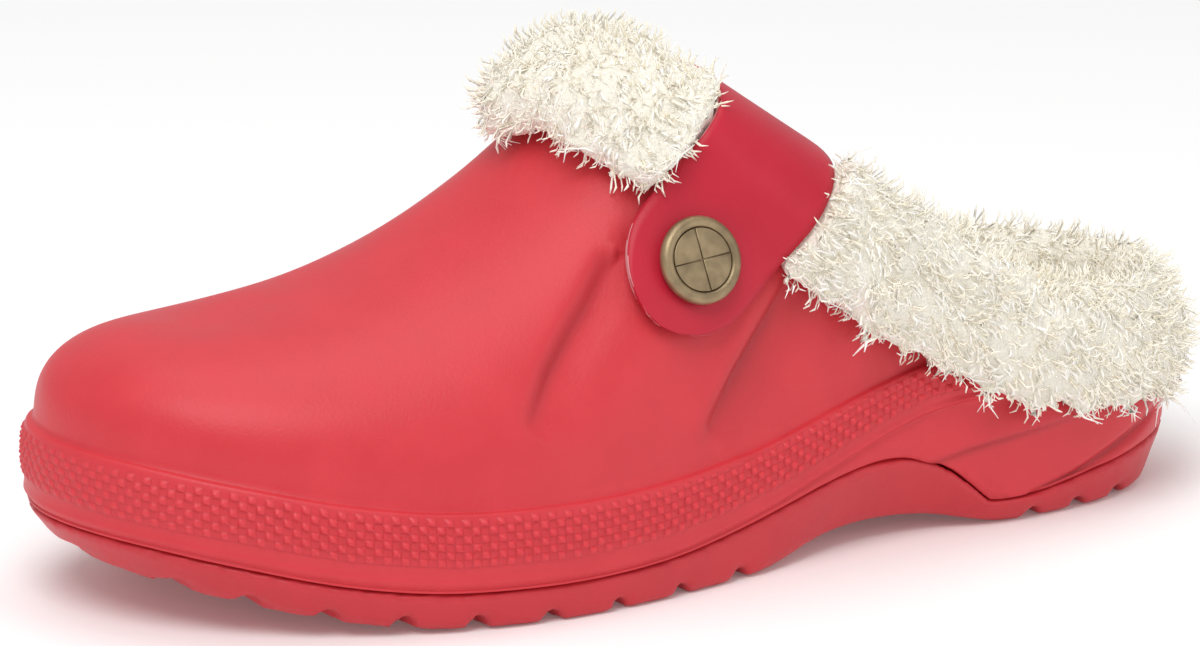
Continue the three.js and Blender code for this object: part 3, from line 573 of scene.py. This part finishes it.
# %% Buttons
def turned_axis(node_name):
    """The centre of the cap's back, the axis pointing away from the shoe, and the cap's radius."""
    points = np.array([v.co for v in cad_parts[node_name].data.vertices])
    mean = points.mean(0)
    spread, axes = np.linalg.eigh(np.cov((points - mean).T))
    gaps = [abs(spread[1] - spread[2]), abs(spread[0] - spread[2]), abs(spread[0] - spread[1])]
    axis = Vector(axes[:, gaps.index(min(gaps))])
    middle_x = sum(c.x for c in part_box("upper")) / 2
    if axis.x * (mean[0] - middle_x) < 0:
        axis.negate()
    offsets = points - mean
    heights = offsets @ np.array(axis)
    radii = np.linalg.norm(offsets - np.outer(heights, np.array(axis)), axis=1)
    return Vector(mean) + axis * float(heights.max()), axis, float(radii.max())


def lathe(bm, profile, steps=64):
    """Spins a profile of (radius, height) points round Z."""
    verts = [bm.verts.new((radius, 0, height)) for radius, height in profile]
    edges = [bm.edges.new(pair) for pair in zip(verts, verts[1:])]
    bmesh.ops.spin(
        bm, geom=verts + edges, cent=(0, 0, 0), axis=(0, 0, 1), angle=math.tau, steps=steps, use_merge=True
    )
    bmesh.ops.remove_doubles(bm, verts=bm.verts, dist=1e-6)
    bmesh.ops.recalc_face_normals(bm, faces=bm.faces)


def scored_disc(bm, radius, height, thickness, score):
    """A disc in four quarters with rounded edges, so that two fine lines cross it."""
    place = Matrix.Translation((0, 0, height))
    made = bmesh.ops.create_circle(bm, cap_ends=True, segments=48, radius=radius, matrix=place)
    faces = list({f for v in made["verts"] for f in v.link_faces})
    for normal in ((1, 0, 0), (0, 1, 0)):
        geom = faces + list({e for f in faces for e in f.edges}) + list({v for f in faces for v in f.verts})
        cut = bmesh.ops.bisect_plane(bm, geom=geom, plane_co=(0, 0, 0), plane_no=normal)
        faces = [g for g in cut["geom"] if isinstance(g, bmesh.types.BMFace)]
        split = [g for g in cut["geom_cut"] if isinstance(g, bmesh.types.BMEdge)]
        bmesh.ops.split_edges(bm, edges=split)
    for face in faces:
        centre = face.calc_center_median()
        shift = Vector((math.copysign(score, centre.x), math.copysign(score, centre.y), 0))
        bmesh.ops.translate(bm, verts=face.verts, vec=shift)
    solid = bmesh.ops.extrude_face_region(bm, geom=faces, use_keep_orig=True)
    top = [g for g in solid["geom"] if isinstance(g, bmesh.types.BMVert)]
    bmesh.ops.translate(bm, verts=top, vec=(0, 0, thickness))
    edges = list({e for v in top for e in v.link_edges if all(w in top for w in e.verts)})
    bmesh.ops.bevel(
        bm, geom=edges, offset=0.15 * MM, segments=2, profile=0.5, affect="EDGES", material=-1
    )


def snap_button(node_name, name, turn):
    crown, axis, r = turned_axis(node_name)
    bm = bmesh.new()
    lathe(bm, [
        (0, -2.9 * MM), (r * 0.9, -2.9 * MM), (r * 0.97, -2.6 * MM), (r, -1.9 * MM), (r * 0.995, -1.2 * MM),
        (r * 0.965, -0.6 * MM), (r * 0.91, -0.2 * MM), (r * 0.85, -0.03 * MM), (r * 0.79, -0.12 * MM),
        (r * 0.75, -0.4 * MM), (r * 0.735, -0.85 * MM), (r * 0.725, -1.1 * MM), (0, -1.1 * MM),
    ])
    scored_disc(bm, r * 0.7, -1.15 * MM, 0.75 * MM, 0.13 * MM)
    bm.normal_update()
    up = Vector((0, 0, 1))
    side = up.cross(axis).normalized()
    turned = Matrix((side, axis.cross(side), axis)).transposed().to_4x4()
    bmesh.ops.transform(bm, matrix=Matrix.Rotation(turn, 4, "Z"), verts=bm.verts)
    bmesh.ops.transform(bm, matrix=Matrix.Translation(crown) @ turned, verts=bm.verts)
    mesh = bpy.data.meshes.new(name)
    bm.to_mesh(mesh)
    bm.free()
    piece = new_object(name, mesh)
    piece.data.shade_smooth()
    dress(piece, "bronze", bronze, node_name)
    return piece


snap_button("button_lateral", "button_outer", math.radians(6))
snap_button("button_medial", "button_inner", math.radians(-15))

# %% [markdown]
# ## Fleece
# The cuff is a deep fleece: locks of fine hair, laid down and back, that end in a ragged hem. Hair
# particles would do it in a film, but a part needs real meshes. So one short hair is modelled from a cone,
# a few of them make a tuft, and turned copies of six such tufts are joined into each piece.

# %% Fleece material
# The hair glows a little, in warm white: painted light that stands in for light scattering through the pile.
fleece, tree, shader = new_material(
    "fleece", (0.97, 0.95, 0.9), 0.95, Specular_IOR_Level=0.1, Emission_Strength=0.13,
    Emission_Color=(1.0, 0.94, 0.84, 1.0),
)
hair_share = node(tree, "ShaderNodeAttribute", attribute_name="hair_share")
tuft_tone = node(tree, "ShaderNodeAttribute", attribute_name="tuft_tone")
# The hairs are creamy at the root and white at the tip: painted shade deep in the pile. Each tuft also
# differs a little at random.
root_shade_along_hair = ramp(tree, hair_share.outputs["Fac"], [(0.0, (0.96, 0.92, 0.82)), (0.6, (0.99, 0.985, 0.97))])
by_tuft = ramp(tree, tuft_tone.outputs["Fac"], [(0.0, (0.96, 0.93, 0.84)), (0.5, (1, 1, 1))])
tree.links.new(mix_colors(tree, "MULTIPLY", 1.0, root_shade_along_hair, by_tuft), shader.inputs["Base Color"])

# The backing glows faintly as well: painted light.
backing_fleece, tree, shader = new_material(
    "backing_fleece", (0.9, 0.86, 0.76), 0.95, Emission_Strength=0.02, Emission_Color=(1.0, 0.94, 0.84, 1.0)
)
add_grain(tree, shader, 700.0, 260.0, 0.6, 0.002)
print("fleece materials:", fleece.name, backing_fleece.name)


# %% One tuft
def hair(bm, start, heading, length, radius, wave):
    """A tapered hair that rises from its root, bends over along X and waves sideways."""
    earlier = set(bm.verts)
    made = bmesh.ops.create_cone(
        bm, cap_ends=True, segments=3, radius1=radius, radius2=radius * 0.4, depth=length,
        matrix=Matrix.Translation((0, 0, length / 2)),
    )
    long_edges = [e for e in {e for v in made["verts"] for e in v.link_edges}
                  if abs(e.verts[0].co.z - e.verts[1].co.z) > length / 2]
    bmesh.ops.subdivide_edges(bm, edges=long_edges, cuts=1)
    verts = [v for v in bm.verts if v not in earlier]
    layer = bm.verts.layers.float["hair_share"]
    for vert in verts:
        t = vert.co.z / length
        x, y = vert.co.x, vert.co.y
        vert[layer] = t
        swell = 1 + 0.5 * math.sin(math.pi * t)
        forward = length * (0.8 * t + 0.1 * t * t)
        rise = length * 0.14 * math.sin(0.95 * math.pi * t)
        sideways = wave * length * math.sin(1.4 * math.pi * t) * 0.07
        bent = Vector((forward, sideways - y * swell, rise + x * 0.7 * swell))
        vert.co = start + Matrix.Rotation(heading, 3, "Z") @ bent


def tuft_shape(seed, hairs, length, spread, radius):
    """The corners and triangles of one tuft, and the share along its hair of every corner."""
    dice = random.Random(seed)
    bm = bmesh.new()
    bm.verts.layers.float.new("hair_share")
    for _ in range(hairs):
        angle, reach = dice.uniform(0, math.tau), spread * math.sqrt(dice.random())
        start = Vector((reach * math.cos(angle), reach * math.sin(angle), -0.1 * length))
        heading = -0.3 * start.y / spread + dice.uniform(-0.12, 0.12)
        size = length * dice.uniform(0.65, 1.1)
        hair(bm, start, heading, size, radius * dice.uniform(0.8, 1.25), dice.uniform(-1, 1))
    bmesh.ops.triangulate(bm, faces=bm.faces)
    layer = bm.verts.layers.float["hair_share"]
    corners = np.array([v.co for v in bm.verts])
    shares = np.array([v[layer] for v in bm.verts])
    bm.verts.index_update()
    triangles = np.array([[v.index for v in f.verts] for f in bm.faces])
    bm.free()
    return corners, triangles, shares


def joined_tufts(name, shapes, places, seed):
    """One mesh from many tufts. A place is its root, the direction it lies in, the normal and its size."""
    dice = random.Random(seed)
    corners, triangles, shares, tones = [], [], [], []
    count = 0
    for root, lay, normal, size in places:
        shape = dice.choice(shapes)
        side = normal.cross(lay).normalized()
        turn = np.array([lay, side, lay.cross(side)]) * size
        corners.append(shape[0] @ turn + np.array(root))
        triangles.append(shape[1] + count)
        shares.append(shape[2])
        tones.append(np.full(len(shape[2]), dice.random()))
        count += len(shape[2])
    corners, triangles = np.concatenate(corners), np.concatenate(triangles)
    mesh = bpy.data.meshes.new(name)
    mesh.vertices.add(len(corners))
    mesh.vertices.foreach_set("co", corners.ravel())
    mesh.loops.add(triangles.size)
    mesh.loops.foreach_set("vertex_index", triangles.ravel())
    mesh.polygons.add(len(triangles))
    mesh.polygons.foreach_set("loop_start", np.arange(0, triangles.size, 3))
    mesh.update(calc_edges=True)
    for key, values in (("hair_share", shares), ("tuft_tone", tones)):
        mesh.attributes.new(key, "FLOAT", "POINT").data.foreach_set("value", np.concatenate(values))
    mesh.shade_smooth()
    return new_object(name, mesh)


long_tufts = [tuft_shape(k, 8, 8 * MM, 1.3 * MM, 0.24 * MM) for k in range(6)]
short_tufts = [tuft_shape(20 + k, 8, 5 * MM, 1.4 * MM, 0.26 * MM) for k in range(6)]
print("a tuft has", len(long_tufts[0][1]), "triangles")

# %% [markdown]
# ## Cuff
# Under the hair lies a soft backing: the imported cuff, remeshed, smoothed and shrunk a little, so that the
# hair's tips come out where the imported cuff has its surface.

# %% Cuff backing
cuff = merged_copy("cuff", "cuff_backing")
add_modifier(cuff, "REMESH", mode="VOXEL", voxel_size=2.1 * MM, use_smooth_shade=True)
add_modifier(cuff, "SMOOTH", factor=0.6, iterations=6)
add_modifier(cuff, "DISPLACE", strength=-1.3 * MM, mid_level=0)
settle(cuff)
bm = bmesh.new()
bm.from_mesh(cuff.data)
rest, islands = set(bm.verts), []
while rest:
    island, waiting = set(), [rest.pop()]
    while waiting:
        vert = waiting.pop()
        island.add(vert)
        around = {e.other_vert(vert) for e in vert.link_edges} & rest
        rest -= around
        waiting.extend(around)
    islands.append(island)
largest = max(islands, key=len)
bmesh.ops.delete(bm, geom=[v for v in bm.verts if v not in largest], context="VERTS")
bm.to_mesh(cuff.data)
bm.free()
print("cuff backing of", len(largest), "points,", len(islands) - 1, "loose bits left out")
for vert in cuff.data.vertices:
    vert.co += vert.normal * (noise.noise(vert.co * 170) * 1.2 + noise.noise(vert.co * 420) * 0.5) * MM
cuff_tree = tree_of(cuff)
cuff_middle = (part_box("cuff")[0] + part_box("cuff")[1]) / 2
strap_margin = 9 * MM
strap_clearance = 1.6 * MM
hair_reach = 7 * MM
wall_reach = 6 * MM


def random_points(piece, count, seed):
    """Places spread evenly over a piece's faces, with the smooth normal there."""
    mesh = piece.data
    mesh.calc_loop_triangles()
    tris = np.array([t.vertices for t in mesh.loop_triangles])
    co = np.array([v.co for v in mesh.vertices])
    normals = np.array([v.normal for v in mesh.vertices])
    a, b, c = co[tris[:, 0]], co[tris[:, 1]], co[tris[:, 2]]
    area = np.linalg.norm(np.cross(b - a, c - a), axis=1)
    dice = np.random.default_rng(seed)
    picked = dice.choice(len(tris), size=count, p=area / area.sum())
    u, v = dice.random(count), dice.random(count)
    fold = u + v > 1
    u[fold], v[fold] = 1 - u[fold], 1 - v[fold]
    t = tris[picked]
    weights = np.stack([1 - u - v, u, v], axis=1)[:, :, None]
    places = (co[t] * weights).sum(1)
    facing = (normals[t] * weights).sum(1)
    facing /= np.linalg.norm(facing, axis=1)[:, None]
    return [(Vector(p), Vector(n)) for p, n in zip(places, facing)]


def cuff_flow(point, normal, dice):
    """The direction the hair is laid in: down and away from the opening, in drifting locks."""
    spine_y = max(0.012, min(0.105, point.y))
    outward = Vector((point.x - cuff_middle.x, (point.y - spine_y) * 1.5, 0))
    outward = outward.normalized() * 0.7 if outward.length > 1e-6 else Vector()
    fall = Vector((0, -0.5, -1)) + outward
    fall -= normal * fall.dot(normal)
    if fall.length < 1e-3:
        fall = normal.orthogonal()
    drift = noise.noise(point * 95) * 1.6 + dice.uniform(-0.3, 0.3)
    lay = Matrix.Rotation(drift, 3, normal) @ fall.normalized()
    touch, _, _, gap = strap_tree.find_nearest(point, strap_margin)
    if touch:
        away = point - touch
        away -= normal * away.dot(normal)
        if away.length > 1e-5:
            lay += away.normalized() * 2.2 * (1 - gap / strap_margin)
    lay = (lay - normal * lay.dot(normal)).normalized()
    landing = cuff_tree.find_nearest(point + lay * 6 * MM)[0] - point
    return (landing.normalized() + lay * 0.05).normalized()


def insole_flow(point, normal, dice):
    """On the insole the hair lies every way, in small swirls."""
    lay = Matrix.Rotation(noise.noise(point * 70) * 5 + dice.uniform(-0.6, 0.6), 3, "Z") @ Vector((0, 1, 0))
    return (lay - normal * lay.dot(normal)).normalized()


def tuft_places(points, flow, seed, sizes, blockers, clearance=5 * MM):
    """Keeps the places that nothing covers, and gives each its direction and size."""
    dice = random.Random(seed)
    kept = []
    for point, normal in points:
        start = point + normal * 0.4 * MM
        if any(tree.ray_cast(start, normal, clearance)[0] is not None for tree in blockers):
            continue
        lay = flow(point, normal, dice)
        size = dice.uniform(*sizes) * (1 + 0.25 * noise.noise(point * 130 + Vector((3, 1, 2))))
        reach = [point + lay * size * hair_reach * k + normal * MM for k in (0.25, 0.6, 1)]
        if any(strap_tree.find_nearest(p, strap_clearance)[0] for p in reach):
            continue
        if upper_tree.ray_cast(start, lay, wall_reach * size)[0]:
            continue
        kept.append((point, lay, normal, size))
    return kept


def pile_of(root):
    """The name of the pile that a tuft with this root belongs to."""
    if root.y > 0.075:
        return "pile_front"
    if root.y <= 0.005:
        return "pile_heel"
    return "pile_outer" if root.x < cuff_middle.x else "pile_inner"


cuff_points = random_points(cuff, 9400, 5)
places = tuft_places(cuff_points, cuff_flow, 6, (0.75, 1.15), [upper_tree, strap_tree])
groups = {"pile_front": [], "pile_outer": [], "pile_inner": [], "pile_heel": []}
for place in places:
    groups[pile_of(place[0])].append(place)
dress(cuff, "fleece", backing_fleece, "cuff")
for name, group in groups.items():
    dress(joined_tufts(name, long_tufts, group, 9), "fleece", fleece)

# %% [markdown]
# ## Insole
# The insole is a smooth pad with a shorter, thinly spread pile on its top, from the heel to the ball.

# %% Insole
insole = merged_copy("insole", "insole_pad", crease_angle=40, crease=0.5)
add_modifier(insole, "SUBSURF", levels=2, render_levels=2)
settle(insole)
dress(insole, "fleece", backing_fleece, "insole")
pile_end = 0.16
insole_tufts = 800
insole_points = [
    (p, n) for p, n in random_points(insole, 9000, 11) if n.z > 0.6 and p.y < pile_end
]
insole_places = tuft_places(insole_points, insole_flow, 12, (0.7, 1.0), [upper_tree, strap_tree], 2 * MM)
insole_places = insole_places[:insole_tufts]
dress(joined_tufts("insole_pile", short_tufts, insole_places, 13), "fleece", fleece)

# %% [markdown]
# ## Lining
# The lining continues the fleece down the inner wall of the upper. It is made of the upper's own inner
# faces, moved a little inwards and given a thickness.

# %% Lining
lining = merged_copy("upper", "shell_lining")
bm = bmesh.new()
bm.from_mesh(lining.data)
bm.normal_update()
outer_faces = []
for face in bm.faces:
    centre = face.calc_center_median()
    inside = Vector((cuff_middle.x * 0.3, max(0.0, min(0.19, centre.y)), 0.03))
    if face.normal.dot(inside - centre) < 0.3 * (inside - centre).length or centre.z < 0.012:
        outer_faces.append(face)
bmesh.ops.delete(bm, geom=outer_faces, context="FACES")
for vert in bm.verts:
    vert.co += vert.normal * 0.5 * MM
bmesh.ops.solidify(bm, geom=bm.faces[:], thickness=-1.0 * MM)
bmesh.ops.recalc_face_normals(bm, faces=bm.faces)
bm.to_mesh(lining.data)
bm.free()
add_modifier(lining, "SUBSURF", levels=1, render_levels=1)
settle(lining)
lining.data.shade_smooth()
dress(lining, "fleece", backing_fleece)

# %% [markdown]
# ## Floor and light
# The object stands on a plain pale floor in soft studio light, with the key light high on the toe's side.

# %% Floor and light
bpy.context.scene.view_settings.view_transform = "Standard"
floor_mesh = bpy.data.meshes.new("floor")
bm = bmesh.new()
bmesh.ops.create_grid(bm, x_segments=1, y_segments=1, size=6)
bm.to_mesh(floor_mesh)
bm.free()
floor = new_object("floor", floor_mesh)
floor_material, _, _ = new_material(
    "pale_floor", (0.95, 0.95, 0.95), 0.8, Emission_Strength=0.08, Emission_Color=(1.0, 1.0, 1.0, 1.0)
)
floor.data.materials.append(floor_material)

world = bpy.data.worlds.new("studio")
world.use_nodes = True
world.node_tree.nodes["Background"].inputs["Color"].default_value = (1, 1, 1, 1)
world.node_tree.nodes["Background"].inputs["Strength"].default_value = 0.52
bpy.context.scene.world = world


def soft_light(name, direction, distance, size, power):
    data = bpy.data.lights.new(name, "AREA")
    data.shape = "DISK"
    data.size = size
    data.energy = power
    lamp = bpy.data.objects.new(name, data)
    lamp.location = view_target + Vector(direction).normalized() * distance
    lamp.rotation_euler = Vector(direction).to_track_quat("Z", "Y").to_euler()
    bpy.context.scene.collection.objects.link(lamp)


soft_light("key_light", (-0.7, 0.7, 1.5), 1.6, 1.0, 12.5)
soft_light("fill_light", (-1.2, -0.9, 0.5), 1.8, 1.2, 3)
soft_light("top_light", (0.3, -0.1, 1.6), 1.6, 1.2, 6)
